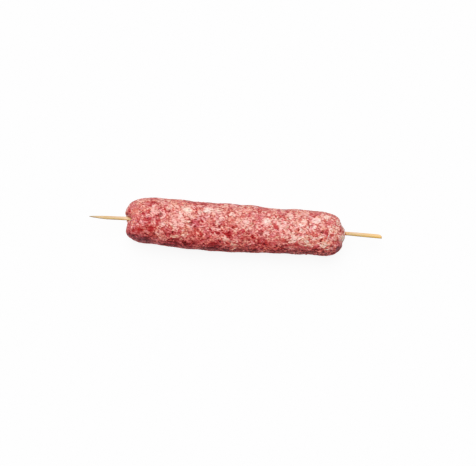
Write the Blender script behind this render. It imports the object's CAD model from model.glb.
# %% [markdown]
# # A raw minced-beef kebab on a bamboo stick
#
# The real object is a fat bar of coarse raw mince, pressed by hand round a thin bamboo stick and laid on its
# side. There are two things to make: the mince, whose whole look is thousands of pressed grains of lean meat
# and fat, and the stick, with its whittled point and its cut end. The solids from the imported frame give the
# size and the place of both. This script gives them their surfaces.

# %% Load the frame
import math

import bpy
import numpy as np
from mathutils import Matrix, Vector


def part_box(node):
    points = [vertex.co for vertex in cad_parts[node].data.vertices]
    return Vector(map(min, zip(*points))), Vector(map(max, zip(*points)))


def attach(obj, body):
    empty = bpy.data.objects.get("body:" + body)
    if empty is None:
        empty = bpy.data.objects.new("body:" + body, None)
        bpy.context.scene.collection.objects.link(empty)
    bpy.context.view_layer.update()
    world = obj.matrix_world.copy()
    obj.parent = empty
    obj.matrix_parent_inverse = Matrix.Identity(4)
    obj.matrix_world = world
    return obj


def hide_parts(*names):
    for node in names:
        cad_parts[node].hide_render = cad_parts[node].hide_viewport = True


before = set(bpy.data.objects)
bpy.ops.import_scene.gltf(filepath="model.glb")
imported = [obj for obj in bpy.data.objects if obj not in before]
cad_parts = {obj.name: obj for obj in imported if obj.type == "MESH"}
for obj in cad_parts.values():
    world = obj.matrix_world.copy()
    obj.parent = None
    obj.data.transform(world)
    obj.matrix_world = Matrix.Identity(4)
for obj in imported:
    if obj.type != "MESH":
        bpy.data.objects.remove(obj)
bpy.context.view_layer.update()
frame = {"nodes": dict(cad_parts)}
MM = 0.001
print("solids:", ", ".join(frame["nodes"]))

# %% [markdown]
# ## Sizes
#
# The stick's ends, radius and height are read off its solid's box, so that the new stick lies just where the
# solid does. The other numbers are the kebab's own shape, as in the solids but for a slightly blunter tip:
# how square the meat's section is, how its ends round off, and where the hand has left a swell or a hollow.

# %% Sizes from the solids, and the kebab's own shape
stick_low, stick_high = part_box("stick")
STICK_START_X = stick_low.x
STICK_STOP_X = stick_high.x
STICK_Z = (stick_high.z + stick_low.z) / 2
STICK_SWELL = 0.18 * MM
STICK_RADIUS = (stick_high.z - stick_low.z) / 2 - STICK_SWELL
STICK_OFFSET_Y = 0.9 * MM
STICK_BOW = 1.2 * MM
SWELL_START_X = 70 * MM
SWELL_STOP_X = 90 * MM
POINT_LENGTH = 12.0 * MM
POINT_RADIUS = 0.20 * MM
POINT_ROUNDNESS = 0.62
POINT_LEAN = 0.35

MEAT_START_X = -75.9 * MM
MEAT_STOP_X = 74.3 * MM
MEAT_RADIUS_Y = 16.05 * MM
MEAT_RADIUS_Z = 15.7 * MM
FLAT_SPOT_DEPTH = 1.6 * MM
MEAT_AXIS_Z = MEAT_RADIUS_Z - FLAT_SPOT_DEPTH
SECTION_POWER = 2.15
SLUMP = 0.035
TAPER = 0.9 * MM

# Each rounded end, on the +Y side and on the -Y side, in mm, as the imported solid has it.
POINT_END = {"reach": (21.5, 22.0), "power": (2.35, 3.3), "set_back": (0, 1.4), "slant": (0, 0)}
CUT_END = {"reach": (16.5, 16.0), "power": (2.6, 2.6), "set_back": (0, 0), "slant": (3.4, 0)}
CLEFT_DEPTH = 5.6 * MM
CLEFT_HALF_WIDTH = 1.7 * MM
CLEFT_HEIGHT = 11.5 * MM
# Where the hand has pushed an end in (-) or left it full (+): Y mm, reach in mm, push mm.
POINT_END_MARKS = ((13.3, 2.6, 0.9), (-2.5, 3.2, -0.8), (-8.5, 2.0, 0.4), (-14.5, 3.0, -0.6))
CUT_END_MARKS = ((12.2, 2.0, 0.4), (7.3, 2.6, -1.2), (-4.9, 1.9, -0.8))
NUB_HEIGHT = 1.0 * MM
NUB_RADIUS = 5.0 * MM
DIMPLE_DEPTH = 0.8 * MM
DIMPLE_WIDTH = 1.2 * MM

# Swells (+) and hollows (-) from the hand: X mm, angle, reach along X mm, reach in degrees, height mm.
HAND_MARKS = (
    (-62, 184, 12, 55, -2.2),
    (-43, 185, 10, 50, -0.6),
    (-19, 183, 17, 55, 0.9),
    (50, 178, 20, 55, -1.0),
    (-47, 8, 20, 60, 0.9),
    (-33, 5, 8, 45, -0.6),
    (10, 5, 9, 45, 0.5),
    (23.5, 5, 9.5, 45, -0.6),
    (45, 5, 13, 50, -0.6),
    (45, 100, 16, 40, 0.4),
    (-24, 100, 14, 45, -0.5),
    (-60, 250, 16, 50, 0.4),
    (58, 300, 15, 50, 0.4),
)
LUMP_HEIGHT = 0.13 * MM
LUMP_LENGTH = 13 * MM
LUMP_WAVES = 7
GOLDEN_ANGLE = math.pi * (3 - math.sqrt(5))


def stick_y(x):
    """Y of the stick's middle line: a parabola from tip to tip, which stands for a shallow arc."""
    return STICK_OFFSET_Y + STICK_BOW * (1 - (2 * x / (STICK_STOP_X - STICK_START_X)) ** 2)


def stick_distance(points):
    """Distance from the stick's middle line, straight across it."""
    return np.hypot(points[..., 1] - stick_y(points[..., 0]), points[..., 2] - STICK_Z)


print("stick radius, mm:", round(STICK_RADIUS / MM, 2), " its height, mm:", round(STICK_Z / MM, 2))

# %% [markdown]
# ## Small helpers
#
# A closed grid is the one kind of mesh used here: rings of points, joined each to the next. Its faces follow
# from its number of rows and columns, so they are worked out as one array. The meat and the stick also get a
# UV map that lays the grid out flat, for anyone who wants to paint on them or bake them.

# %% Helpers for meshes
def unit(vectors):
    """Each vector divided by its own length."""
    return vectors / np.maximum(np.linalg.norm(vectors, axis=-1, keepdims=True), 1e-12)


def round_angles(count):
    """This many angles, evenly round a circle."""
    return np.arange(count) * 2 * math.pi / count


def grid_corners(rows, columns):
    """The four corners of each of rows by columns faces that go right round: their rows, their columns, and
    their places on a flat map, which are the row's share along and the column's share up."""
    row = np.arange(rows)[:, None, None] + np.array([0, 0, 1, 1])
    column = np.arange(columns)[None, :, None] + np.array([0, 1, 1, 0])
    row, column = (corners.reshape(-1, 4) for corners in np.broadcast_arrays(row, column))
    return row, column % columns, np.stack([row / rows, column / columns], axis=-1)


def new_object(name, data):
    """An object that puts this mesh, light or camera in the scene."""
    made = bpy.data.objects.new(name, data)
    bpy.context.scene.collection.objects.link(made)
    return made


def new_mesh(name, points, parts, flat_map=()):
    """An object from whole arrays of points and of faces, shaded smooth, with a UV map if one is given."""
    mesh = bpy.data.meshes.new(name)
    mesh.from_pydata(points.reshape(-1, 3).tolist(), [], [face for part in parts for face in part.tolist()])
    mesh.shade_smooth()
    if flat_map:
        places = np.concatenate([part.ravel() for part in flat_map])
        mesh.uv_layers.new(name="OFBake").uv.foreach_set("vector", places.astype(np.float32))
    return new_object(name, mesh)


def looped_mesh(name, points, rows, columns):
    """A grid of points closed on itself both ways. Point (r, c) is r * columns + c."""
    row, column, flat_map = grid_corners(rows, columns)
    return new_mesh(name, points, [row % rows * columns + column], [flat_map])


def closed_mesh(name, points, rows, columns):
    """One object of one or many stacks of rings, each with one point before it and one after: a grid whose
    first and last rows have shrunk to a point, so that the faces there keep three corners. The later stacks
    have the first one's faces, with the numbers moved on. Only a single stack gets a flat map."""
    row, column, flat_map = grid_corners(rows + 1, columns)
    number = (row * columns + column - columns + 1).clip(0, rows * columns + 1)
    number, flat_map = (
        [corners[:columns, 1:], corners[columns:-columns], corners[-columns:, :3]]
        for corners in (number, flat_map)
    )
    shift = np.arange(len(points))[:, None, None] * points.shape[1]
    parts = [(part + shift).reshape(-1, part.shape[-1]) for part in number]
    return new_mesh(name, points, parts, flat_map if len(points) == 1 else ())


def store(piece, **layers):
    """Keeps named numbers or vectors, one for each point of a piece, for its material to read."""
    for name, values in layers.items():
        vectors = values.size == 3 * len(piece.data.vertices)
        layer = piece.data.attributes.new(name, "FLOAT_VECTOR" if vectors else "FLOAT", "POINT")
        layer.data.foreach_set("vector" if vectors else "value", values.astype(np.float32).ravel())


def triangles(piece):
    """How many triangles a piece has: each face's number of corners, less two."""
    return sum(len(face.vertices) - 2 for face in piece.data.polygons)


# %% [markdown]
# ## Uneven numbers
#
# Nothing in mince is even, so most of what follows needs a smooth random field. Value noise is the simplest
# one: a random number at each corner of a lattice of cubes, blended in between. The corner's number comes
# from scrambling its three whole-number coordinates, so it is the same at every run. The two curves below it
# turn a distance into a soft share from 0 to 1.

# %% Value noise, and two soft curves
def scrambled(corner, seed):
    """A number from -1 to 1 for each lattice corner: its coordinates multiplied, mixed and cut to 32 bits."""
    mixed = (corner * np.array([73856093, 19349663, 83492791])).sum(axis=-1) + seed * 2654435761
    mixed = mixed & 0xFFFFFFFF
    for shift, factor in ((16, 0x7FEB352D), (15, 0x846CA68B)):
        mixed = ((mixed ^ (mixed >> shift)) * factor) & 0xFFFFFFFF
    mixed = mixed ^ (mixed >> 16)
    return mixed / 0x7FFFFFFF - 1


def corner_weights(share):
    """Each corner of a cell with its weight, for places that lie this share of the way along each side."""
    for corner in np.ndindex((2,) * share.shape[-1]):
        yield np.array(corner), np.prod(np.where(corner, share, 1 - share), axis=-1)


def noise(points, size, seed):
    """Smooth values from -1 to 1: the corners of each cube of this size, blended by 3t^2 - 2t^3."""
    cell = points / size
    low = np.floor(cell).astype(np.int64)
    share = cell - low
    share = share * share * (3 - 2 * share)
    return sum(weight * scrambled(low + corner, seed) for corner, weight in corner_weights(share))


def smooth_step(low, high, value):
    """0 up to low, 1 from high, and 3t^2 - 2t^3 of the share t in between. With low over high it falls."""
    share = np.clip((value - low) / (high - low), 0, 1)
    return share * share * (3 - 2 * share)


def bell(distance):
    """1 at 0, and falling away on both sides as exp(-t^2)."""
    return np.exp(-(distance**2))


# %% [markdown]
# ## The body of the meat
#
# Before any grains, the mince is a smooth bar. Its section is a superellipse, which is an ellipse with
# squarer shoulders, flattened below where the bar lies on the board. Each end rounds off as a superellipse
# too, and a bore runs through for the stick. Going over one end, along the side, over the other end and back
# through the bore closes the surface on itself, so the whole skin is one grid with no poles.

# %% The smooth body
COLUMNS = 232
END_ROWS = 70
SIDE_ROWS = 250
BORE_ROWS = 5
SQUEEZE = 0.06 * MM  # the mince is pressed this far into the stick's skin, so that no gap shows
BORE_RADIUS = STICK_RADIUS - SQUEEZE
CAD_BORE_RADIUS = STICK_RADIUS + 0.3 * MM


def side_mix(pair, angle):
    """pair[0] on the +Y side and pair[1] on the -Y side, shared by half of one plus the angle's cosine."""
    return pair[1] + (pair[0] - pair[1]) * (1 + np.cos(angle)) / 2


def even_quarter(count, power, length, height):
    """Angles from 0 to 90 degrees that lie evenly along a quarter of a superellipse."""
    angle = np.linspace(0, math.pi / 2, 4000)
    along = length * (1 - np.cos(angle).clip(0) ** (2 / power))
    out = height * np.sin(angle) ** (2 / power)
    run = np.concatenate([[0], np.cumsum(np.hypot(np.diff(along), np.diff(out)))])
    return np.interp(np.linspace(0, run[-1], count), run, angle)


def lumps(x, y, z):
    """Low lumps: a sum of sine waves whose directions turn by the golden angle."""
    height = 0
    for i in range(LUMP_WAVES):
        rise = 1 - (2 * i + 1) / LUMP_WAVES
        flat = math.sqrt(1 - rise**2)
        along = x * rise + y * flat * math.cos(i * GOLDEN_ANGLE) + z * flat * math.sin(i * GOLDEN_ANGLE)
        height = height + np.sin(2 * math.pi * along / (LUMP_LENGTH * (1 + 0.13 * i)) + i)
    return LUMP_HEIGHT * height


def section_radius(x, angle):
    """The side's distance from the meat's middle: a tapered superellipse, with the hand's marks and lumps."""
    across = np.abs(np.cos(angle) / MEAT_RADIUS_Y) ** SECTION_POWER
    upward = np.abs(np.sin(angle) / MEAT_RADIUS_Z) ** SECTION_POWER
    radius = (across + upward) ** (-1 / SECTION_POWER) - TAPER * x / (MEAT_STOP_X - MEAT_START_X)
    for mark_x, mark_angle, reach_x, reach_angle, height in HAND_MARKS:
        turn = np.angle(np.exp(1j * (angle - math.radians(mark_angle))))
        near = ((x / MM - mark_x) / reach_x) ** 2 + (turn / math.radians(reach_angle)) ** 2
        radius = radius + height * MM * np.exp(-near)
    return radius + lumps(x, radius * np.cos(angle), radius * np.sin(angle))


def surface(x, outset, angle):
    """Points at these X: outset 0 is the bore's rim and 1 is the side, and the middle moves between them."""
    radius = BORE_RADIUS + (section_radius(x, angle) - BORE_RADIUS) * outset
    y = stick_y(x) * (1 - outset) + radius * np.cos(angle)
    z = STICK_Z * (1 - outset) + MEAT_AXIS_Z * outset + radius * np.sin(angle)
    y = y * (1 - SLUMP * (z - MEAT_AXIS_Z) / MEAT_RADIUS_Z * outset)
    return np.stack(np.broadcast_arrays(x, y, z), axis=-1)


def cleft_depth(points):
    """The cleft in the point end: deepest at the stick, fading as exp(-t^1.5) sideways and downwards and as
    exp(-t^2) upwards. Just over the stick it is a slit, where the mince has closed on it, and it opens
    above."""
    off_y = points[..., 1] - stick_y(points[..., 0])
    off_z = points[..., 2] - STICK_Z
    rim = BORE_RADIUS * (1 - smooth_step(0.3 * MM, 3 * MM, off_z))
    half_width = CLEFT_HALF_WIDTH * (0.7 + 1.6 * smooth_step(1.5 * MM, 11 * MM, off_z))
    past_rim = np.maximum(np.hypot(off_y, np.minimum(off_z, 0)) - rim, 0) / half_width
    return CLEFT_DEPTH * np.exp(-(past_rim**1.5) - (np.maximum(off_z, 0) / CLEFT_HEIGHT) ** 2)


def nub_height(points):
    """The nub at the cut end: a low bell round the stick, less a narrow dimple at the stick itself."""
    distance = stick_distance(points)
    nub = NUB_HEIGHT * bell(distance / NUB_RADIUS)
    return nub - DIMPLE_DEPTH * bell((distance - CAD_BORE_RADIUS) / DIMPLE_WIDTH)


def end_marks(marks, points):
    """How far the hand's marks push an end outwards: a sum of bells across Y."""
    y = points[..., 1] / MM
    return sum(push * MM * bell((y - place) / reach) for place, reach, push in marks)


def rounded_end(end, angle):
    """How far back from the end's furthest point each row lies, and its outset, from the bore's rim to the
    side. It is a superellipse, 1 - cos^(2/p) back and sin^(2/p) out, with the lobe's set-back and the face's
    slant added."""
    power = side_mix(end["power"], angle)
    reach = side_mix(end["reach"], angle)
    turn = even_quarter(END_ROWS, power.mean(), reach.mean() * MM, MEAT_RADIUS_Y)[:, None]
    inset = 1 - np.cos(turn).clip(0) ** (2 / power)
    outset = np.sin(turn) ** (2 / power)
    back = reach * inset + side_mix(end["slant"], angle) * outset
    return (back + side_mix(end["set_back"], angle) * (1 - inset)) * MM, outset


def smooth_body():
    """The whole skin as rows of points: the point end, the side, the cut end, then back through the bore."""
    angle = round_angles(COLUMNS)
    back, outset = rounded_end(POINT_END, angle)
    point_end = surface(MEAT_START_X + back, outset, angle)
    point_end[..., 0] += cleft_depth(point_end) - end_marks(POINT_END_MARKS, point_end)
    first_x = point_end[-1, :, 0]

    back, outset = rounded_end(CUT_END, angle)
    cut_end = surface(MEAT_STOP_X - back, outset, angle)[::-1]
    cut_end[..., 0] += nub_height(cut_end) + end_marks(CUT_END_MARKS, cut_end)
    last_x = cut_end[0, :, 0]

    share = np.arange(1, SIDE_ROWS)[:, None] / SIDE_ROWS
    side = surface(first_x + (last_x - first_x) * share, 1, angle)
    share = np.arange(1, BORE_ROWS)[:, None, None] / BORE_ROWS
    bore = cut_end[-1] + (point_end[0] - cut_end[-1]) * share
    bore[..., 1] = stick_y(bore[..., 0]) + BORE_RADIUS * np.cos(angle)
    return np.concatenate([point_end, side, cut_end, bore])


body = smooth_body()
ROWS = len(body)
OUTER_ROWS = ROWS - (BORE_ROWS - 1)  # the rows that are not in the bore
along_rows = np.roll(body, -1, axis=0) - np.roll(body, 1, axis=0)
along_columns = np.roll(body, -1, axis=1) - np.roll(body, 1, axis=1)
outwards = unit(np.cross(along_columns, along_rows))
cell_area = np.linalg.norm(np.cross(along_columns, along_rows), axis=-1) / 4
cell_area[OUTER_ROWS:] = 0
print("grid:", ROWS, "by", COLUMNS, " skin, square cm:", round(cell_area.sum() * 1e4, 1))

# %% [markdown]
# ## The grains
#
# Coarse mince is a mass of soft grains, each a few millimetres long, pressed into each other. Where two meet
# there is a crease, and where none quite reaches there is a pit. That is just what the highest of many
# overlapping domes gives. So thousands of flat domes are scattered over the skin, each an ellipse with its
# own length, breadth, direction and height, and at each point of the grid the highest dome wins. The places
# are first shifted by noise, so that no outline stays a clean ellipse.

# %% Scatter the grains
WARP = 0.40 * MM
WARP_SIZE = 1.2 * MM
TURN_SPREAD = 0.6
rng = np.random.default_rng(11)


def warped(points):
    """Points shifted by two noises for each axis, one of them half as strong and finer, so that clean shapes
    come out ragged."""
    broad = [noise(points, WARP_SIZE, seed) for seed in (1, 2, 3)]
    narrow = [noise(points, WARP_SIZE / 2.2, seed) for seed in (6, 7, 8)]
    return points + WARP * (np.stack(broad, axis=-1) + 0.5 * np.stack(narrow, axis=-1))


def picked(rng, count, weight):
    """Numbers of random grid points, in proportion to a weight at each. Point (r, c) is r * COLUMNS + c."""
    return rng.choice(weight.size, count, p=(weight / weight.sum()).ravel())


def scatter_grains(count, length, spread, height, depth_spread):
    """Random grains over the skin: places in proportion to area, lengths with a lognormal spread, and turned
    from the bar's own direction by a normal spread in radians. On the -Y flank, where the mince was stroked
    along the bar, they are turned less and drawn out longer and narrower."""
    row, column = np.divmod(np.sort(picked(rng, count, cell_area)), COLUMNS)
    out = outwards[row, column]
    lengthwise = unit(along_rows[row, column])
    crosswise = np.cross(out, lengthwise)
    flank = smooth_step(0.35, 0.9, -out[:, 1])
    turn = (rng.normal(0, TURN_SPREAD, count) * (1 - 0.6 * flank))[:, None]
    along = np.cos(turn) * lengthwise + np.sin(turn) * crosswise
    long = length * rng.lognormal(0, spread, count).clip(0.45, 2.6)
    broad = long * rng.uniform(0.4, 0.8, count) * (1 - 0.25 * flank)
    long = long * (1 + 0.3 * flank)
    tall = height * (broad / length) ** 0.6 * rng.uniform(0.75, 1.25, count)
    level = rng.normal(0, depth_spread, count)
    grains = {"row": row, "centre": body[row, column], "long": long, "broad": broad, "tall": tall}
    return {**grains, "level": level, "along": along, "across": np.cross(out, along), "out": out}


coarse = scatter_grains(13500, 1.12 * MM, spread=0.42, height=0.24 * MM, depth_spread=0.08 * MM)
fine = scatter_grains(42000, 0.52 * MM, spread=0.25, height=0.13 * MM, depth_spread=0.06 * MM)
for name, grains in (("coarse", coarse), ("fine", fine)):
    middle_length = round(2 * np.median(grains["long"]) / MM, 1)
    print(name, "grains:", len(grains["row"]), " middle length, mm:", middle_length)

# %% Press them together
BAND_ROWS = 4
LEAST_ROW_STEP = 0.42 * MM
COARSE_BARE = -0.45 * MM
FINE_BARE = -0.12 * MM


def press_grains(grains, places, bare_depth):
    """Height of the highest dome at each place, which grain it is, and the place along that grain's own
    directions. A dome's height is level + tall * (1 - q), where q is the squared distance from its middle
    measured in its own lengths and breadths. Where no dome reaches, the height is the bare depth. The rows
    are taken a few at a time, and only with the grains near them, to save memory."""
    height = np.full(places.shape[:2], bare_depth)
    owner = np.zeros(places.shape[:2], np.int64)
    inside = np.zeros(places.shape)
    reach_rows = int(np.ceil(grains["long"].max() / LEAST_ROW_STEP)) + 3
    for first in range(0, OUTER_ROWS, BAND_ROWS):
        rows = slice(first, min(first + BAND_ROWS, OUTER_ROWS))
        low, high = np.searchsorted(grains["row"], (rows.start - reach_rows, rows.stop + reach_rows))
        near = {name: values[low:high] for name, values in grains.items()}
        offset = (places[rows].reshape(-1, 3)[:, None] - near["centre"]).astype(np.float32)
        axes = [near[axis].astype(np.float32) for axis in ("along", "across", "out")]
        along, across, deep = (np.einsum("pgi,gi->pg", offset, axis) for axis in axes)
        q = (along / near["long"]) ** 2 + (across / near["broad"]) ** 2 + (deep / near["broad"]) ** 2
        dome = near["level"] + near["tall"] * (1 - q)
        best = dome.argmax(axis=1)
        won = np.arange(len(best)), best
        shape = height[rows].shape
        height[rows] = np.maximum(dome[won], bare_depth).reshape(shape)
        owner[rows] = (low + best).reshape(shape)
        inside[rows] = np.stack([along[won], across[won], deep[won]], axis=-1).reshape(*shape, 3)
    return height, owner, inside


ragged = warped(body)
coarse_top, coarse_owner, coarse_inside = press_grains(coarse, ragged, COARSE_BARE)
fine_top, fine_owner = press_grains(fine, ragged, FINE_BARE)[:2]
for name, top in (("coarse", coarse_top), ("fine", fine_top)):
    spread = np.percentile(top[:OUTER_ROWS] / MM, (5, 50, 95)).round(2)
    print(name, "relief, mm, 5th, 50th and 95th share:", spread)

# %% [markdown]
# ## Pits
#
# Here and there the mince has not closed, and a small dark pit is left. The larger ones on top are set one by
# one, since they are what the eye finds first. The rest are scattered over the sides and the underside. A pit
# is a soft-edged ellipse of shares from 0 to 1, which both lowers and darkens the surface later. The same
# measure of distance serves for every other mark that is set by hand on the upper side.

# %% Pits
# The pits on top: X mm, Y mm, length mm, breadth mm, turn in degrees.
PITS = (
    (-51.2, 5, 4.0, 3.2, 40),
    (-45, 8.5, 3.0, 1.2, 60),
    (-30.5, 1, 3.4, 2.6, 30),
    (-27, -1.2, 2.4, 1.6, 0),
    (-24, 6, 2.2, 1.4, 20),
    (-10.5, 0.5, 3.0, 2.0, 50),
    (-5, 7.5, 2.2, 1.4, 0),
    (11.5, 3.5, 2.2, 1.6, 40),
    (18, -3, 2.0, 3.0, 0),
    (42.5, 1.5, 2.2, 1.4, 70),
    (49, 6.5, 1.6, 3.4, 0),
    (58.5, 1, 3.0, 2.2, 60),
    (58, -4.5, 1.4, 3.4, -30),
    (-74, 4.5, 1.6, 2.6, 0),
)
PIT_DEPTH = 0.45 * MM
RANDOM_PITS = 90
PIT_EDGE = 0.4  # squared distance up to which a pit has its full depth
LUMP_EDGE = 0.5  # the same for the single lumps further down
EDGE_END = 1.5  # squared distance at which both have faded out
upper = smooth_step(-0.1, 0.3, outwards[..., 2])


def nearest_on_top(x, y):
    """Row and column of the upward-facing grid point that lies nearest to each place seen from above."""
    rows, columns = np.nonzero(outwards[:OUTER_ROWS, :, 2] > 0.05)
    seen = body[rows, columns, :2]
    nearest = [np.hypot(*(seen - place).T).argmin() for place in np.stack([x, y], -1) * MM]
    return rows[nearest], columns[nearest]


def mark_distance(x, y, long, broad, turn=0):
    """Squared distance from a place on the upper side, in the mark's own half length and half breadth.
    Downwards a mark reaches twice its half breadth, as it lies on a side that falls away."""
    row, column = nearest_on_top(np.array([x]), np.array([y]))
    off = ragged - body[row[0], column[0]]
    turn = math.radians(turn)
    along = (off[..., 0] * math.cos(turn) + off[..., 1] * math.sin(turn)) / (long * MM)
    across = (off[..., 1] * math.cos(turn) - off[..., 0] * math.sin(turn)) / (broad * MM)
    return along**2 + across**2 + (off[..., 2] / (2 * broad * MM)) ** 2


def pit_share():
    """How far each point is inside a pit, from 0 to 1. Those seen from above are placed; the rest are random,
    away from the upper side, and round: a squared distance over their own size decides."""
    share = np.zeros(body.shape[:2])
    for x, y, long, broad, turn in PITS:
        distance = mark_distance(x, y, long / 2, broad / 2, turn)
        share = np.maximum(share, upper * smooth_step(EDGE_END, PIT_EDGE, distance))
    rng = np.random.default_rng(12)
    row, column = np.divmod(picked(rng, RANDOM_PITS, cell_area * (1 - upper)), COLUMNS)
    for centre, size in zip(body[row, column], rng.uniform(0.8, 1.6, RANDOM_PITS) * MM):
        distance = ((ragged - centre) ** 2).sum(axis=-1) / size**2
        share = np.maximum(share, smooth_step(EDGE_END, PIT_EDGE, distance))
    return share


# %% [markdown]
# ## The skin
#
# The relief pushes each point out along its own direction. It fades to nothing round the stick, where the
# mince clings to it, and it is set so that the middle grains keep the size of the solid. The highest domes
# are pressed flat by a soft limit, as by a palm. Two noises make the grains lumpy and the bar uneven. Last,
# nothing may pass below the board, which presses the underside flat.

# %% Raise the relief
FINE_LUMPS = 0.06 * MM
FINE_SIZE = 0.9 * MM
BROAD_LUMPS = 0.10 * MM
BROAD_SIZE = 5.5 * MM
MIDDLE_PERCENTILE = 62
PRESS_SOFTNESS = 0.10 * MM
CREASE_REACH = 3  # grid points each way, over which a crease is compared with its surroundings

from_stick = stick_distance(body) - BORE_RADIUS
free = smooth_step(0.1 * MM, 1.6 * MM, from_stick)
free[OUTER_ROWS:] = 0
middle = np.percentile(coarse_top[:OUTER_ROWS], MIDDLE_PERCENTILE)
pressed = coarse_top - middle - PRESS_SOFTNESS * np.log1p(np.exp((coarse_top - middle) / PRESS_SOFTNESS))
relief = pressed + PRESS_SOFTNESS * math.log(2) + fine_top - np.median(fine_top[:OUTER_ROWS])
relief = relief + FINE_LUMPS * noise(body, FINE_SIZE, 21) + BROAD_LUMPS * noise(body, BROAD_SIZE, 22)
relief = relief * free
pits = pit_share()
relief = relief - PIT_DEPTH * pits
skin = body + outwards * relief[..., None]
skin[..., 2] = skin[..., 2].clip(0)


def neighbours_mean(values, reach):
    """The mean over a square of the grid, this many points each way: a running mean in each direction."""
    for axis in (0, 1):
        values = sum(np.roll(values, step, axis=axis) for step in range(-reach, reach + 1)) / (2 * reach + 1)
    return values


hollow = smooth_step(0.02 * MM, 0.26 * MM, neighbours_mean(relief, CREASE_REACH) - relief)
hollow = np.maximum(hollow, 0.9 * pits) * (1 - 0.7 * bell(from_stick / (6 * MM)))
print("relief, mm:", round(relief.min() / MM, 2), "to", round(relief.max() / MM, 2))

# %% [markdown]
# ## Lean and fat
#
# Mince is lean meat and fat, ground together but never evenly. Each grain gets a lightness from its place in
# a random order, so the share of pale and dark grains is exact, and neighbours share a part of it, so that
# they gather in patches. A second number, the tint, says whether a grain is warm or cool. The side that is
# turned from the light was pressed against the hand and is darker and streaky. The far rim is darker too.

# %% Lightness and tint of the grains
FINE_SHARE = 0.38
GRITTY_SHARE = 0.18
SHOULDER_DARKER = 0.20
STREAKS_DARKER = 0.36
FAR_RIM_DARKER = 0.22


def ranked(score):
    """Each score's place in the order of them all, from 0 to 1."""
    rank = np.empty(len(score))
    rank[np.argsort(score)] = np.linspace(0, 1, len(score))
    return rank


def clustered(grains, seed, own, near, broad):
    """A random score for each grain: its own part, and two noises that neighbours share, 3 and 8 mm across.
    They count for less on top, where the blotches below are placed one by one."""
    on_top = smooth_step(0, 0.5, grains["out"][:, 2])
    shared = near * (1 - 0.5 * on_top) * noise(grains["centre"], 3 * MM, seed)
    shared = shared + broad * (1 - 0.8 * on_top) * noise(grains["centre"], 8 * MM, seed + 1)
    return own * rng.normal(0, 1, len(grains["row"])) + shared


rng = np.random.default_rng(13)
coarse_rank = ranked(clustered(coarse, 31, own=0.8, near=0.7, broad=0.45))
fine_rank = ranked(rng.normal(0, 1, len(fine["row"])))
coarse_tint = ranked(clustered(coarse, 41, own=0.5, near=0.8, broad=1.6))
lightness = coarse_rank[coarse_owner] + FINE_SHARE * (fine_rank[fine_owner] - 0.5)
lightness = lightness + GRITTY_SHARE * noise(ragged / np.array([2.8, 1.7, 1.7]), MM, 62)
flank = smooth_step(0.45, 0.85, 0.4 * np.abs(outwards[..., 0]) - outwards[..., 1])
streaks = smooth_step(0.1, 0.6, noise(ragged / np.array([7, 3, 1.0]), MM, 61))
shoulder = flank * smooth_step(-0.35, 0.1, outwards[..., 2])
lightness = lightness - shoulder * (SHOULDER_DARKER + STREAKS_DARKER * streaks)
far_rim = smooth_step(0.35, 0.8, outwards[..., 1]) * smooth_step(-0.3, 0.1, outwards[..., 2])
lightness = lightness - FAR_RIM_DARKER * far_rim
tint = 0.02 + coarse_tint[coarse_owner] + 0.3 * far_rim - 0.1 * shoulder
film = np.maximum(0.35 * shoulder, 0.6 * far_rim)

# %% [markdown]
# ## Marks set one by one
#
# What makes this kebab itself is where its pale and dark places lie. Soft blotches shift the grains'
# lightness and tint over several millimetres. Some places have gone dusky in the air. Single lumps of fat or
# lean cover the grains, and are smoother than they are. All are lists to be read and changed, with X and Y as
# seen from above.

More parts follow.
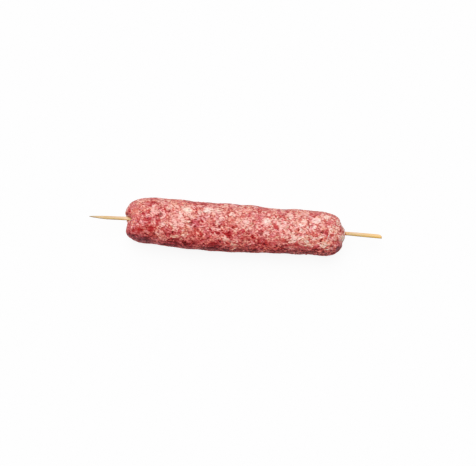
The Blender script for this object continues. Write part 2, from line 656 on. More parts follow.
# %% Blotches, dusky places and single lumps on the upper side
# Soft blotches: X mm, Y mm, reach along X and Y in mm, shift of lightness, shift of tint.
BLOTCHES = (
    (-72, -7, 3, 5, -0.5, -0.4),
    (-70, 7, 4, 3, -0.3, 0.3),
    (-66, 13, 5, 2, 0.3, 0.2),
    (-63, 2, 6, 4, -0.2, -0.2),
    (-65, -6, 3, 3, -0.15, 0.0),
    (-61, -2, 4, 2, 0.3, 0.0),
    (-65, -12, 9, 4, -0.6, -0.7),
    (-56, 3, 4, 4, -0.5, -0.3),
    (-57, -7, 4, 4, -0.3, 0.1),
    (-48, 7, 4, 3, -0.3, 0.0),
    (-48, 1, 3, 2, 0.2, 0.0),
    (-46, -6, 4, 4, -0.4, 0.1),
    (-40, 7, 6, 8, 0.3, 0.1),
    (-43, -14, 8, 2, -0.3, -0.6),
    (-31, 7, 4, 4, 0.2, 0.3),
    (-28, 1, 4, 3, -0.2, -0.5),
    (-26, 15, 9, 2, -0.5, 0.3),
    (-32, -12, 7, 3, -0.6, 0.0),
    (-33, -6, 4, 3, 0.4, 0.0),
    (-24, -8, 6, 3, -0.45, 0.1),
    (-22, 3, 4, 3, -0.4, 0.0),
    (-15, 11, 7, 4, 0.6, 0.0),
    (-15, -4, 3, 6, -0.2, 0.0),
    (-14, -13, 9, 2, -0.2, 0.0),
    (-7, 6, 4, 3, -0.2, 0.0),
    (-6, -3, 6, 3, -0.5, 0.1),
    (5, 5, 6, 4, 0.3, 0.1),
    (6, 14, 10, 2, 0.2, 0.1),
    (12, -11, 6, 2, 0.2, 0.1),
    (16, 7, 4, 9, -0.2, 0.0),
    (16, -6, 5, 4, -0.3, 0.0),
    (27, 9, 7, 5, 0.1, 0.0),
    (27, -11, 9, 3, -0.3, 0.3),
    (32, 14, 4, 2, -0.1, 0.1),
    (38, 8, 6, 4, 0.3, 0.1),
    (40, 1, 3, 2, -0.3, 0.0),
    (38, -3, 6, 2, 0.3, 0.0),
    (48, -6, 6, 4, 0.6, 0.0),
    (58, -6, 5, 4, 0.4, -0.1),
    (47, 5, 5, 3, 0.3, 0.0),
    (57, 12, 8, 3, 0.3, 0.0),
    (65, 8, 3, 5, 0.15, 0.0),
    (62, 0, 3, 3, -0.3, -0.1),
    (64, -10, 4, 4, 0.55, -0.1),
    (40, -11, 4, 3, 0.35, 0.0),
    (-64, 9, 4, 3, -0.15, 0.0),
    (71, -8, 3, 4, -1.15, -0.7),
    (72, 5, 2, 3, -0.4, 0.0),
    (72, -2, 2, 3, 1.2, 0.0),
)
# Where the air has turned the surface dusky: X mm, Y mm, reach along X and Y in mm, share.
DUSKY = (
    (-73, -8, 3, 5, 0.8),
    (-71, 10, 5, 4, 0.2),
    (-65, -12, 10, 4, 1.1),
    (67, 11, 6, 4, 0.6),
    (71, -9, 4, 5, 1.1),
    (73, 5, 2, 4, 0.5),
)
# Single lumps: X mm, Y mm, length mm, breadth mm, turn in degrees, lightness, tint.
BIG_LUMPS = (
    (-59, 12.4, 6.0, 3.6, 10, 0.12, 0.5),
    (-68, 7.5, 5.0, 3.0, 30, 0.22, 0.9),
    (-56, 11, 3.0, 2.2, 80, 1.00, 0.4),
    (-55, 6, 3.0, 2.0, 20, 1.05, 0.5),
    (-48, 12, 3.4, 2.2, 10, 0.08, 0.2),
    (-38, 15.3, 6.0, 1.8, 0, 0.08, 0.4),
    (-24, 15.6, 6.0, 1.8, 0, 0.10, 0.4),
    (-31, 14, 4.0, 2.0, 0, 0.20, 0.9),
    (-32.5, 10, 6.4, 3.4, 5, 1.45, 1.0),
    (-57, -4.5, 4.6, 4.2, 0, -0.30, 0.6),
    (-64, -6, 4.2, 3.2, 20, 0.02, 0.6),
    (-51, -2, 2.6, 6.4, 0, 0.84, 0.4),
    (-51, -8, 4.4, 1.6, 15, 0.95, 0.5),
    (-39.5, 3, 9.0, 8.0, 0, 0.60, 0.5),
    (-40, -8.5, 6.8, 2.6, 5, 1.00, 1.0),
    (-43, -14.2, 6.0, 2.2, 0, -0.10, 0.1),
    (-20, 11, 5.2, 3.4, 10, 1.30, 0.2),
    (-15, 9, 3.6, 2.4, 60, 0.95, 0.8),
    (-24, -4, 3.0, 2.4, 0, 0.10, 0.9),
    (-14, -11.5, 7.0, 2.6, 10, -0.05, 0.4),
    (-2, 4, 4.6, 3.0, 30, 0.18, 0.9),
    (-4, -3.5, 5.0, 3.0, 20, 0.02, 0.4),
    (5, 8, 3.4, 2.2, 0, 0.12, 0.7),
    (4, 12, 4.0, 2.6, 0, 0.32, 0.9),
    (9, 9, 2.6, 1.6, 70, 0.04, 0.2),
    (11, 10.5, 2.4, 1.8, 0, 1.00, 0.5),
    (16, 8, 2.8, 2.4, 0, 0.12, 0.1),
    (5, -1.8, 4.0, 3.2, 45, -0.15, 0.0),
    (20, 5.5, 6.8, 4.6, 20, 1.10, 0.4),
    (0, -11.5, 6.0, 2.4, -20, 1.05, 0.9),
    (30, 4, 2.8, 4.6, 10, 1.10, 0.6),
    (26.5, 3, 2.4, 3.8, 0, 0.12, 0.6),
    (32, -6.2, 4.8, 3.4, 10, 0.06, 0.8),
    (43, -12.5, 9.0, 2.0, 0, 0.15, 0.5),
    (41, -8.5, 8.0, 3.6, 0, 0.25, 0.7),
    (27, -7.5, 6.0, 3.4, 0, 0.35, 0.4),
    (54, -10.5, 5.0, 2.2, 0, 0.00, 0.6),
    (46, 7, 5.0, 2.2, 30, 0.82, 0.8),
    (54, 9, 6.0, 4.0, 10, 1.10, 0.1),
    (61.5, 11.5, 4.2, 3.4, 0, 1.20, 0.8),
    (38.5, -2.5, 5.6, 2.0, -25, 1.10, 0.8),
    (48.5, -5.8, 7.0, 1.8, -35, 0.85, 0.6),
    (53, -1, 4.6, 1.9, 10, 0.15, 1.0),
    (54, -6, 3.6, 3.4, 0, 0.30, 0.9),
    (60, -7, 5.0, 2.8, 30, 0.85, 0.8),
    (66, -3.5, 3.0, 2.0, 40, 0.90, 0.4),
    (72.5, 0.8, 2.0, 1.8, 0, 0.00, 0.4),
)
SOFTENED = 0.6  # share of the fine grit's contrast that goes where a mark is at its full strength
LUMP_COVER = 0.85  # how fully a lump covers the grains
GRAINS_IN_LUMP = 0.5  # share of the grains' own unevenness that still shows in a lump
contrast = 1 + 0.3 * shoulder
for *place, shift, tint_shift in BLOTCHES:
    near = upper * np.exp(-mark_distance(*place))
    lightness = lightness + shift * near
    tint = tint + tint_shift * near
for *place, share in DUSKY:
    near = share * upper * np.exp(-mark_distance(*place))
    film = film + near
    contrast = contrast * (1 - SOFTENED * near)
for x, y, long, broad, turn, light, hue in BIG_LUMPS:
    distance = mark_distance(x, y, long / 2, broad / 2, turn)
    near = LUMP_COVER * upper * smooth_step(EDGE_END, LUMP_EDGE, distance)
    lightness = lightness + (light + GRAINS_IN_LUMP * (lightness - 0.5) - lightness) * near
    tint = tint + (hue - tint) * near
    contrast = contrast * (1 - SOFTENED * near)
tint = tint.clip(0, 1)
print("lightness of the grains:", np.round(np.percentile(lightness, (5, 50, 95)), 2))

# %% [markdown]
# The mesh keeps all of this as numbers at its points, and the material reads them by name. Round the stick
# the meat is paler: at the cut end it has dried a little, and at the point end fat is smeared on it.

# %% The meat's mesh
meat = looped_mesh("meat_skin", skin, ROWS, COLUMNS)
dried = 0.6 * bell(from_stick / (9 * MM)) * smooth_step(-0.9, 0.5, noise(body, 1.2 * MM, 63))
dried = dried * smooth_step(MEAT_STOP_X - 9 * MM, MEAT_STOP_X, body[..., 0])
smeared = 0.9 * bell((body[..., 1] - stick_y(body[..., 0])) / (2.2 * MM)) * bell(from_stick / (7 * MM))
smeared = smeared * smooth_step(MEAT_START_X + 7.5 * MM, MEAT_START_X + 4 * MM, body[..., 0])
paler = np.maximum(dried, smeared)
store(meat, lightness=lightness, hollow=hollow, tint=tint, contrast=contrast, film=film, paler=paler)
# Each grain's own coordinates in mm, moved far apart so that no two grains share their fibres.
store(meat, grain_place=coarse_inside / MM + coarse_rank[coarse_owner][..., None] * np.array([97, 57, 31]))
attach(meat, "root")
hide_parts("meat")
print("meat triangles:", triangles(meat))

# %% [markdown]
# ## Materials
#
# A material is a small tree of nodes, and so is the light from all round. The class below keeps one while it
# is being built, with a short name for each kind of node that is used here.

# %% A material being built
class Look:
    """The node tree of a material or of the world, with short ways to add nodes to it."""

    def __init__(self, owner, shader="Principled BSDF"):
        """Takes a new material or world, whose tree starts with this shader."""
        owner.use_nodes = True
        self.owner = owner
        self.tree = owner.node_tree
        self.shader = self.tree.nodes[shader]

    def fill(self, socket, value):
        """Links a socket to another node's output, or sets it to a constant."""
        if isinstance(value, bpy.types.NodeSocket):
            self.tree.links.new(value, socket)
        elif isinstance(value, tuple) and len(value) == 3 and socket.type == "RGBA":
            socket.default_value = (*value, 1)
        else:
            socket.default_value = value

    def add(self, kind, settings=(), **inputs):
        """Adds a node, sets its settings, and fills its inputs: by name, or by number as i0, i1 and so on."""
        node = self.tree.nodes.new(kind)
        for setting, value in dict(settings).items():
            setattr(node, setting, value)
        for name, value in inputs.items():
            self.fill(node.inputs[int(name[1:]) if name[1:].isdigit() else name.replace("_", " ")], value)
        return node

    def surface(self, **inputs):
        """Fills the shader's own sockets by name, with _ for each space."""
        for name, value in inputs.items():
            self.fill(self.shader.inputs[name.replace("_", " ")], value)

    def for_camera(self, seen):
        """Shows the camera another shader than the one that every other ray meets."""
        direct = self.add("ShaderNodeLightPath").outputs["Is Camera Ray"]
        both = self.add("ShaderNodeMixShader", i0=direct, i1=self.shader.outputs[0], i2=seen)
        self.fill(next(node for node in self.tree.nodes if "Output" in node.name).inputs[0], both.outputs[0])

    def place(self):
        """The object's own coordinates."""
        return self.add("ShaderNodeTexCoord").outputs["Object"]

    def attribute(self, name, output="Fac"):
        """A number or a vector that the mesh keeps at each point."""
        return self.add("ShaderNodeAttribute", {"attribute_name": name}).outputs[output]

    def maths(self, kind, *values):
        """One step of arithmetic on up to three values."""
        inputs = {f"i{i}": value for i, value in enumerate(values)}
        return self.add("ShaderNodeMath", {"operation": kind}, **inputs).outputs[0]

    def noise(self, vector, scale, detail, roughness):
        """Fractal noise from 0 to 1, of coordinates multiplied by a scale of their own along each axis."""
        vector = self.add("ShaderNodeMapping", Vector=vector, Scale=scale).outputs["Vector"]
        node = self.add("ShaderNodeTexNoise", Vector=vector, Scale=1.0, Detail=detail, Roughness=roughness)
        return node.outputs["Fac"]

    def span(self, value, low, high, to_low, to_high):
        """The value moved from one span of numbers to another, and kept inside it."""
        node = self.add("ShaderNodeMapRange", i0=value, i1=low, i2=high, i3=to_low, i4=to_high)
        return node.outputs["Result"]

    def ramp(self, factor, places, colours):
        """A colour from a row of colours, each with its place from 0 to 1."""
        node = self.add("ShaderNodeValToRGB", i0=factor)
        elements = node.color_ramp.elements
        while len(elements) < len(places):
            elements.new(0.5)
        for element, place, colour in zip(elements, places, colours):
            element.position = place
            element.color = (*colour, 1)
        return node.outputs["Color"]

    def mixed(self, share, first, second):
        """Two colours mixed: the first at 0 and the second at 1."""
        return self.add("ShaderNodeMix", {"data_type": "RGBA"}, i0=share, i6=first, i7=second).outputs[2]

    def scaled(self, colour, share):
        """A colour with all three of its numbers multiplied by the same share."""
        return self.add("ShaderNodeVectorMath", {"operation": "SCALE"}, Vector=colour, Scale=share).outputs[0]

    def bump(self, height, strength, distance):
        """Tilts the shading by a fine relief of this height in metres."""
        node = self.add("ShaderNodeBump", Height=height, Strength=strength, Distance=distance)
        self.surface(Normal=node.outputs["Normal"])


# %% [markdown]
# Raw mince runs from the purple-red of lean meat to the cream of fat. The grains' lightness, the fibres
# inside each grain and a fine mottling are added up, and the sum picks a colour from a ramp. There are two
# ramps, one warm and one cool, and the grain's tint mixes them. Fine grit and the creases are darker, since
# light is lost in them. A film of fat gleams on the dusky parts. The meat is moist, so it has a faint gloss,
# and light passes a little way into it.

# %% Raw mince
FIBRES_SHARE = 0.30
MOTTLE_SHARE = 0.40
WHOLE_SHARE = 0.62
LIGHT_START = 0.015
# From lean to fat: place on the ramp, colour of the warm grains, colour of the cool ones.
LEAN_TO_FAT = (
    (0.0, (0.24, 0.016, 0.016), (0.22, 0.013, 0.024)),
    (0.12, (0.38, 0.046, 0.041), (0.36, 0.040, 0.052)),
    (0.30, (0.51, 0.125, 0.103), (0.49, 0.110, 0.122)),
    (0.50, (0.68, 0.212, 0.172), (0.66, 0.192, 0.200)),
    (0.70, (0.79, 0.305, 0.245), (0.78, 0.280, 0.272)),
    (0.85, (0.87, 0.405, 0.320), (0.86, 0.370, 0.345)),
    (0.93, (0.92, 0.490, 0.385), (0.91, 0.450, 0.410)),
    (1.0, (0.97, 0.610, 0.480), (0.96, 0.590, 0.530)),
)
CREASE_RED = (0.20, 0.014, 0.015)
FILM_PINK = (0.58, 0.40, 0.42)
PALE_FAT = (0.80, 0.56, 0.48)

mince = Look(bpy.data.materials.new("raw_mince_look"))
place = mince.place()
fibres = mince.noise(mince.attribute("grain_place", "Vector"), (0.5, 2.6, 1.0), 2.0, 0.5)
mottle = mince.noise(place, (600.0, 1200.0, 1200.0), 4.0, 0.7)
light = mince.maths("MULTIPLY_ADD", fibres, FIBRES_SHARE, mince.attribute("lightness"))
light = mince.maths("MULTIPLY_ADD", mottle, MOTTLE_SHARE, light)
light = mince.maths("MULTIPLY_ADD", light, WHOLE_SHARE, LIGHT_START)
grit = mince.span(mince.noise(place, (650.0, 1600.0, 1600.0), 2.0, 0.6), 0.33, 0.63, 0.24, 1.33)
grit = mince.maths("POWER", grit, mince.attribute("contrast"))
hollow_shade = mince.span(mince.attribute("hollow"), 0.0, 1.0, 1.0, 0.5)
places, warm, cool = zip(*LEAN_TO_FAT)
warm = mince.ramp(light, places, warm)
cool = mince.ramp(light, places, cool)
colour = mince.mixed(mince.attribute("tint"), cool, warm)
colour = mince.mixed(mince.maths("MULTIPLY", mince.attribute("hollow"), 0.35), colour, CREASE_RED)
gleam = mince.span(mince.noise(place, (1300.0, 1900.0, 1900.0), 2.0, 0.6), 0.54, 0.68, 0.1, 0.5)
colour = mince.mixed(mince.maths("MULTIPLY", gleam, mince.attribute("film")), colour, FILM_PINK)
colour = mince.mixed(mince.attribute("paler"), colour, PALE_FAT)
mince.surface(
    Base_Color=mince.scaled(colour, mince.maths("MULTIPLY", grit, hollow_shade)),
    Roughness=mince.span(mottle, 0.3, 0.7, 0.36, 0.56),
    Subsurface_Weight=0.3,
    Subsurface_Radius=(1.0, 0.35, 0.25),
    Subsurface_Scale=1.2 * MM,
    Coat_Weight=0.02,
    Coat_Roughness=0.2,
    Specular_IOR_Level=0.14,
)
mince.bump(mince.maths("MULTIPLY_ADD", fibres, 0.6, mottle), 0.7, 0.14 * MM)
meat.data.materials.append(mince.owner)

# %% [markdown]
# ## Threads of fat and crumbs of mince
#
# Two things stand a little proud of the skin, and they catch the light along the meat's outline. Threads of
# fat and sinew lie over it, pressed half in. Each is a thin tube that tapers to both ends and wanders over
# the grid. Crumbs are small lumps that cling to it. Each is a ball squashed by noise and sunk to about half
# its height. All the threads are one piece, and all the crumbs are another.

# %% Where things lie on the skin
skin_under = np.stack([neighbours_mean(skin[..., i], 2) for i in range(3)], axis=-1)


def on_skin(values, row, column):
    """Values at places between the grid's points: the four round each place, blended in straight lines."""
    place = np.stack([row, column], axis=-1)
    low = np.floor(place).astype(int)
    total = 0
    for corner, weight in corner_weights(place - low):
        at = (low + corner) % (ROWS, COLUMNS)
        total = total + weight[..., None] * values[at[..., 0], at[..., 1]]
    return total


# %% Threads of fat
THREADS = 70
THREAD_ROWS = 26
THREAD_COLUMNS = 6
THREAD_RADIUS = 0.17 * MM
# Threads that show from above: X mm, Y mm, length mm, direction in degrees, bend, thickness.
SEEN_THREADS = (
    (44, -3.5, 9, -40, 0.5, 1.6),
    (46, -8.5, 9, 35, -0.7, 1.5),
    (51, -4.5, 7, -75, 0.4, 1.2),
    (57, -1.5, 6, -60, 0.2, 1.1),
    (36, -1.5, 7, -35, 0.5, 1.5),
    (41, -4.5, 5, 20, -0.5, 1.3),
    (58, -8.5, 7, 30, -0.3, 1.8),
    (63, -4, 6, -65, -0.4, 1.4),
    (-49, -7.5, 6, 15, 0.3, 1.6),
    (0, -12.5, 6, 25, 0.3, 1.5),
    (13, -4, 6, 50, -0.4, 1.0),
    (24, 11, 6, 20, 0.6, 1.0),
    (-66, 8, 6, 70, 0.3, 1.1),
)


def thread_paths():
    """Rows and columns of the points along each thread, and its thickness. Its direction turns steadily by
    its bend, and noise makes it wander."""
    rng = np.random.default_rng(14)
    x, y, length, degrees, bend, thick = np.array(SEEN_THREADS).T
    seen = [*nearest_on_top(x, y), length, np.radians(degrees), bend, thick]
    count = THREADS - len(SEEN_THREADS)
    free = picked(rng, count, cell_area * (from_stick > 3 * MM) * (outwards[..., 2] > -0.8))
    free = [*np.divmod(free, COLUMNS), rng.uniform(3, 9, count), rng.normal(0, 0.7, count)]
    free = [*free, rng.normal(0, 0.6, count), rng.uniform(0.6, 1.3, count)]
    row, column, length, turn, bend, thick = np.concatenate([seen, free], axis=1)
    wander = rng.normal(0, 0.35, (THREADS, THREAD_ROWS))
    rows, columns = [row], [column]
    for i in range(1, THREAD_ROWS):
        turn = turn + (bend / THREAD_ROWS * 3 + wander[:, i])
        run = length * MM / THREAD_ROWS
        place = np.round(row).astype(int) % ROWS, np.round(column).astype(int) % COLUMNS
        row_step = np.linalg.norm(along_rows[place], axis=-1) / 2
        column_step = np.linalg.norm(along_columns[place], axis=-1) / 2
        row = (row + run * np.cos(turn) / row_step).clip(2, OUTER_ROWS - 3)
        column = column + run * np.sin(turn) / column_step
        rows.append(row)
        columns.append(column)
    return np.stack(rows, -1), np.stack(columns, -1), thick[:, None]


def thread_points():
    """All threads' points: rings of six round each path, whose radius is the square root of a sine, and two
    end points each. The tube's middle lies a third of its radius over the skin."""
    rows, columns, thick = thread_paths()
    middle = on_skin(skin_under, rows, columns)
    out = unit(on_skin(outwards, rows, columns))
    along = unit(np.gradient(middle, axis=1))
    side = unit(np.cross(out, along))
    share = (np.arange(THREAD_ROWS) + 0.5) / THREAD_ROWS
    radius = THREAD_RADIUS * thick * np.sqrt(np.sin(math.pi * share))
    middle = middle + out * (0.35 * radius + 0.03 * MM)[..., None]
    angle = round_angles(THREAD_COLUMNS)[:, None]
    ring = side[:, :, None] * np.cos(angle) + out[:, :, None] * np.sin(angle)
    rings = (middle[:, :, None] + ring * radius[:, :, None, None]).reshape(THREADS, -1, 3)
    ends = [middle[:, i] - sign * along[:, i] * radius[:, i, None] for i, sign in ((0, 1), (-1, -1))]
    return np.concatenate([ends[0][:, None], rings, ends[1][:, None]], axis=1)


threads = closed_mesh("fat_threads", thread_points(), THREAD_ROWS, THREAD_COLUMNS)
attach(threads, "root")
print("threads:", THREADS, " triangles:", triangles(threads))

# %% Crumbs of mince
CRUMBS = 100
CRUMB_ROWS = 5
CRUMB_COLUMNS = 8
CRUMB_RADIUS = 0.50 * MM
CRUMB_SUNK = 0.1


def ball_points():
    """A ball of radius 1 as rings round X, with one point before them and one after."""
    polar = np.arange(1, CRUMB_ROWS + 1)[:, None] * math.pi / (CRUMB_ROWS + 1)
    angle = round_angles(CRUMB_COLUMNS)
    rings = np.broadcast_arrays(-np.cos(polar), np.sin(polar) * np.cos(angle), np.sin(polar) * np.sin(angle))
    return np.concatenate([[[-1, 0, 0]], np.stack(rings, -1).reshape(-1, 3), [[1, 0, 0]]])


def crumb_points():
    """All crumbs' points: a ball stretched along one axis, made lumpy by noise and sunk in the skin."""
    rng = np.random.default_rng(15)
    weight = cell_area * (from_stick > 2 * MM) * (outwards[..., 2] > -0.7)
    row, column = np.divmod(picked(rng, CRUMBS, weight), COLUMNS)
    out = outwards[row, column]
    turn = rng.uniform(0, 2 * math.pi, CRUMBS)[:, None]
    lengthwise = unit(along_rows[row, column])
    along = lengthwise * np.cos(turn) + np.cross(out, lengthwise) * np.sin(turn)
    axes = np.stack([along, np.cross(out, along), out], axis=1)
    ball = ball_points()[None]
    size = CRUMB_RADIUS * rng.lognormal(0, 0.35, CRUMBS).clip(0.5, 2)[:, None]
    stretch = np.stack([rng.uniform(1, 1.8, CRUMBS), rng.uniform(0.8, 1.1, CRUMBS), np.full(CRUMBS, 0.7)], -1)
    lumpy = 1 + 0.3 * noise(ball + np.arange(CRUMBS)[:, None, None] * 7, 0.8, 81)
    offset = ball * (size * stretch)[:, None] * lumpy[..., None]
    middle = skin_under[row, column] - out * size * CRUMB_SUNK
    return middle[:, None] + np.einsum("cpi,cij->cpj", offset, axes)


crumbs = closed_mesh("mince_crumbs", crumb_points(), CRUMB_ROWS, CRUMB_COLUMNS)
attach(crumbs, "root")
print("crumbs:", CRUMBS, " triangles:", triangles(crumbs))

# %% Looks of the threads and crumbs
SEEN_THREADS_LIGHTER = 0.15
rng = np.random.default_rng(16)
looks = ((threads, THREADS, (0.70, 1.05), 0.65), (crumbs, CRUMBS, (0.15, 0.90), 0.5))
for piece, count, light_span, warmth in looks:
    each = len(piece.data.vertices) // count
    light = rng.uniform(*light_span, count)
    if piece == threads:
        light[: len(SEEN_THREADS)] += SEEN_THREADS_LIGHTER
    warm_or_cool = rng.uniform(warmth - 0.35, warmth + 0.35, count)
    store(piece, lightness=np.repeat(light, each), tint=np.repeat(warm_or_cool, each))
    places = np.array([vertex.co for vertex in piece.data.vertices]) / MM
    places = places + np.repeat(rng.uniform(0, 90, count), each)[:, None]
    store(piece, contrast=np.ones(each * count), grain_place=places)
    piece.data.materials.append(mince.owner)

# %% [markdown]
# ## The stick
#
# A bamboo stick is split from the culm and pulled through a round hole, so it is nearly a cylinder with long
# fibres that show as faint ridges. One end is ground to a point, mostly from one side. The other is cut off
# at a slant, and its edge is a little ragged. It is a stack of rings, closed by a fan of triangles at each
# end. Each ring is centred on the stick's shallow arc.

# %% The stick's surface
STICK_COLUMNS = 56
POINT_ROWS = 36
SHAFT_ROWS = 220
CUT_ROWS = 5
CUT_SLANT = 1.4 * MM
CUT_BEVEL = 0.45 * MM
FIBRE_HEIGHT = 0.035 * MM
FIBRE_WIDTH = 0.16 * MM
FIBRE_LENGTH = 24 * MM


def shaft_radius(x):
    """The shaft's radius: even, then growing by the swell along 3t^2 - 2t^3 towards the cut end."""
    return STICK_RADIUS + STICK_SWELL * smooth_step(SWELL_START_X, SWELL_STOP_X, x)


def stick_rings():
    """X and radius of each ring, from the point to the middle of the cut. The point's radius grows with a
    power, its roundness, of the way along it."""
    share = np.arange(1, POINT_ROWS + 1) / POINT_ROWS
    point_x = STICK_START_X + POINT_LENGTH * share**1.5
    point_radius = POINT_RADIUS + (STICK_RADIUS - POINT_RADIUS) * share ** (1.5 * POINT_ROUNDNESS)
    shaft_x = np.linspace(point_x[-1], STICK_STOP_X - CUT_BEVEL, SHAFT_ROWS)[1:]
    turn = np.linspace(0, math.pi / 2, CUT_ROWS)[1:]
    bevel_x = STICK_STOP_X - CUT_BEVEL * (1 - np.sin(turn))
    bevel_radius = shaft_radius(STICK_STOP_X) - CUT_BEVEL * (1 - np.cos(turn))
    face_radius = bevel_radius[-1] * np.array([0.75, 0.5, 0.25])
    x = np.concatenate([point_x, shaft_x, bevel_x, np.full(3, STICK_STOP_X)])
    radius = np.concatenate([point_radius, shaft_radius(shaft_x), bevel_radius, face_radius])
    return x[:, None], radius[:, None]


def stick_surface():
    """The rings as points, with the fibres' ridges raised on them, between the two end points. Also the
    number of rings."""
    x, radius = stick_rings()
    angle = round_angles(STICK_COLUMNS)
    across = radius / FIBRE_WIDTH
    around = np.broadcast_arrays(x / FIBRE_LENGTH, across * np.cos(angle), across * np.sin(angle))
    around = np.stack(around, axis=-1)
    ridges = FIBRE_HEIGHT * (noise(around, 1, 71) + 0.5 * noise(around * np.array([2.5, 2, 2]), 1, 72))
    on_side = smooth_step(0.3 * MM, 1.0 * MM, radius) * smooth_step(0, 1.5 * MM, x - STICK_START_X)
    rise = radius + (ridges - FIBRE_HEIGHT * 0.4) * on_side
    lean = POINT_LEAN * np.maximum(STICK_RADIUS - radius, 0) * (x < 0)
    y = rise * np.cos(angle)
    near_cut = smooth_step(-6 * MM, 0, x - STICK_STOP_X)
    slant = CUT_SLANT * ((y / STICK_RADIUS + 1) / 2).clip(0) ** 3.5
    rough_cut = 0.12 * MM * noise(around * np.array([0, 1, 1]), 1.5, 73)
    z = STICK_Z + rise * np.sin(angle)
    points = np.stack([x - (slant + rough_cut) * near_cut, y + lean + stick_y(x), z], -1)
    first = np.array([STICK_START_X, stick_y(STICK_START_X) + POINT_LEAN * STICK_RADIUS, STICK_Z])
    return np.concatenate([[first], points.reshape(-1, 3), [points[-1].mean(axis=0)]]), len(x)


stick_points, stick_rows = stick_surface()
stick = closed_mesh("bamboo_stick", stick_points[None], stick_rows, STICK_COLUMNS)
stick_x = stick_points[:, 0]
stain = smooth_step(MEAT_START_X + 4 * MM, MEAT_START_X + 9 * MM, stick_x)
store(
    stick,
    stain=stain * smooth_step(MEAT_STOP_X + 5 * MM, MEAT_STOP_X - 1 * MM, stick_x),
    smeared=bell((stick_x - MEAT_START_X - 3 * MM) / (2.5 * MM)),
    toasted=smooth_step(STICK_STOP_X - 22 * MM, STICK_STOP_X, stick_x),
    smudge=smooth_step(STICK_START_X + 8 * MM, STICK_START_X, stick_x),
)
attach(stick, "root")
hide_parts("stick")
print("stick triangles:", triangles(stick))

# %% [markdown]
# Bamboo is pale straw, with darker and lighter fibres that run its whole length and short brown flecks where
# a fibre's end shows. Meat juice has soaked in at the cut end, fat is smeared on the stick where it enters
# the point end, and the ground tip has picked up a grey smudge.

# %% Bamboo
# From the darkest fibre to the lightest: place on the ramp, colour.
FIBRE_TONES = (
    (0.28, (0.36, 0.19, 0.080)),
    (0.42, (0.51, 0.305, 0.145)),
    (0.55, (0.59, 0.37, 0.200)),
    (0.72, (0.72, 0.52, 0.345)),
)
bamboo = Look(bpy.data.materials.new("bamboo_look"))
place = bamboo.place()
fibres = bamboo.noise(place, (60.0, 3200.0, 3200.0), 3.0, 0.6)
flecks = bamboo.noise(place, (700.0, 5200.0, 5200.0), 2.0, 0.5)
blush = bamboo.noise(place, (260.0, 260.0, 260.0), 3.0, 0.6)
colour = bamboo.ramp(fibres, *zip(*FIBRE_TONES))
layers = (
    (bamboo.span(flecks, 0.58, 0.72, 0.0, 0.6), (0.42, 0.20, 0.07)),
    (bamboo.maths("MULTIPLY", bamboo.attribute("toasted"), 0.7), (0.80, 0.42, 0.15)),
    (bamboo.maths("MULTIPLY", bamboo.attribute("stain"), blush), (0.62, 0.22, 0.13)),
    (bamboo.maths("MULTIPLY", bamboo.attribute("smeared"), 0.7), (0.95, 0.60, 0.36)),
    (bamboo.maths("MULTIPLY", bamboo.attribute("smudge"), 0.8), (0.22, 0.16, 0.11)),
)
for share, tone in layers:
    colour = bamboo.mixed(share, colour, tone)
bamboo.surface(Base_Color=colour, Roughness=0.62, Specular_IOR_Level=0.3)
bamboo.bump(fibres, 0.5, 0.06 * MM)
stick.data.materials.append(bamboo.owner)

# %% [markdown]
# ## Floor and light
#
# The kebab lies on a plain pale floor that runs out of sight, so nothing competes with it. For the camera, a
# part of the floor's brightness is its own, which keeps the shadow faint, and the far background is as pale.
# The light is one broad soft lamp from above and behind, with a little from all round.

# %% Floor
FLOOR_SIDE = 6.0
FLOOR_DROP = 0.05 * MM
FLOOR_COLOUR = (0.72, 0.72, 0.72)
FLOOR_GLOW = 1.32
FLOOR_OWN_SHARE = 0.72
floor_corners = np.array([(-1, -1, 0), (1, -1, 0), (1, 1, 0), (-1, 1, 0)]) * FLOOR_SIDE / 2
floor = new_mesh("floor", floor_corners - (0, 0, FLOOR_DROP), np.array([[(0, 1, 2, 3)]]))
table = Look(bpy.data.materials.new("pale_table"))
table.surface(Base_Color=FLOOR_COLOUR, Roughness=0.9, Specular_IOR_Level=0.0)
glow = table.add("ShaderNodeEmission", Color=(1, 1, 1), Strength=FLOOR_GLOW).outputs[0]
plain = table.shader.outputs[0]
table.for_camera(table.add("ShaderNodeMixShader", i0=FLOOR_OWN_SHARE, i1=plain, i2=glow).outputs[0])
floor.data.materials.append(table.owner)

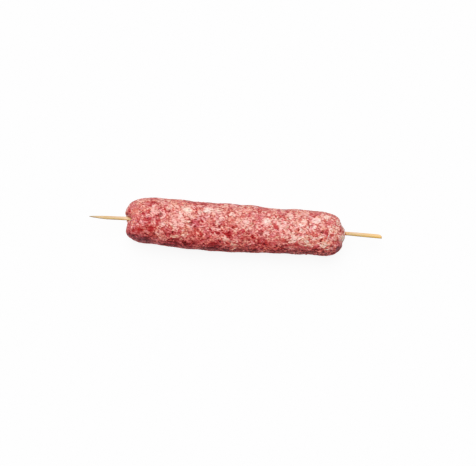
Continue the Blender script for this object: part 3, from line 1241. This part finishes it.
# %% Light from all round, and the lamp
SKY_LIGHT = 0.10
BACKDROP_LIGHT = 1.5
LAMP_LIGHT = 4.35
LAMP_BREADTH = math.radians(50)
LAMP_FROM = (-0.12, 0.45, 1.0)
bpy.context.scene.world = bpy.data.worlds.new("studio")
sky = Look(bpy.context.scene.world, "Background")
sky.surface(Color=(1, 1, 1), Strength=SKY_LIGHT)
sky.for_camera(sky.add("ShaderNodeBackground", Strength=BACKDROP_LIGHT).outputs[0])

lamp = bpy.data.lights.new("lamp", "SUN")
lamp.energy = LAMP_LIGHT
lamp.angle = LAMP_BREADTH
new_object("lamp", lamp).rotation_euler = Vector(LAMP_FROM).to_track_quat("Z", "Y").to_euler()

# %% [markdown]
# ## The camera
#
# A camera does not show light in proportion: it holds back the darkest tones, lifts the middle ones and eases
# the bright ones off towards white. The curve below gives what is shown for each amount of light, with 1.3
# as white. The camera looks straight down, turned a little so that the stick slopes as it was laid.

# %% The camera's response
WHITE = 1.3
RESPONSE = ((0.03, 0.014), (0.104, 0.078), (0.26, 0.296), (0.302, 0.367), (0.75, 0.76), (1.0, 0.93))
settings = bpy.context.scene.view_settings
settings.view_transform = "Standard"
settings.use_curve_mapping = True
settings.curve_mapping.white_level = (WHITE, WHITE, WHITE)
curve = settings.curve_mapping.curves[3]
for given, shown in RESPONSE:
    curve.points.new(given / WHITE, shown)
settings.curve_mapping.update()

# %% The camera
SEEN_WIDTH = 324.3 * MM
CAMERA_HEIGHT = 1.3
STICK_SLOPE = math.radians(3.89)
STICK_PLACE = (-1.7 * MM, 4.27 * MM)
camera = bpy.data.cameras.new("camera")
camera.sensor_width = 36
camera.lens = camera.sensor_width * (CAMERA_HEIGHT - STICK_Z) / SEEN_WIDTH
camera_stand = new_object("camera", camera)
turned = Matrix.Rotation(STICK_SLOPE, 4, "Z")
aim = turned @ Vector((-STICK_PLACE[0], -STICK_PLACE[1], 0)) + Vector((0, STICK_OFFSET_Y, 0))
camera_stand.matrix_world = Matrix.Translation((aim.x, aim.y, CAMERA_HEIGHT)) @ turned
bpy.context.scene.camera = camera_stand
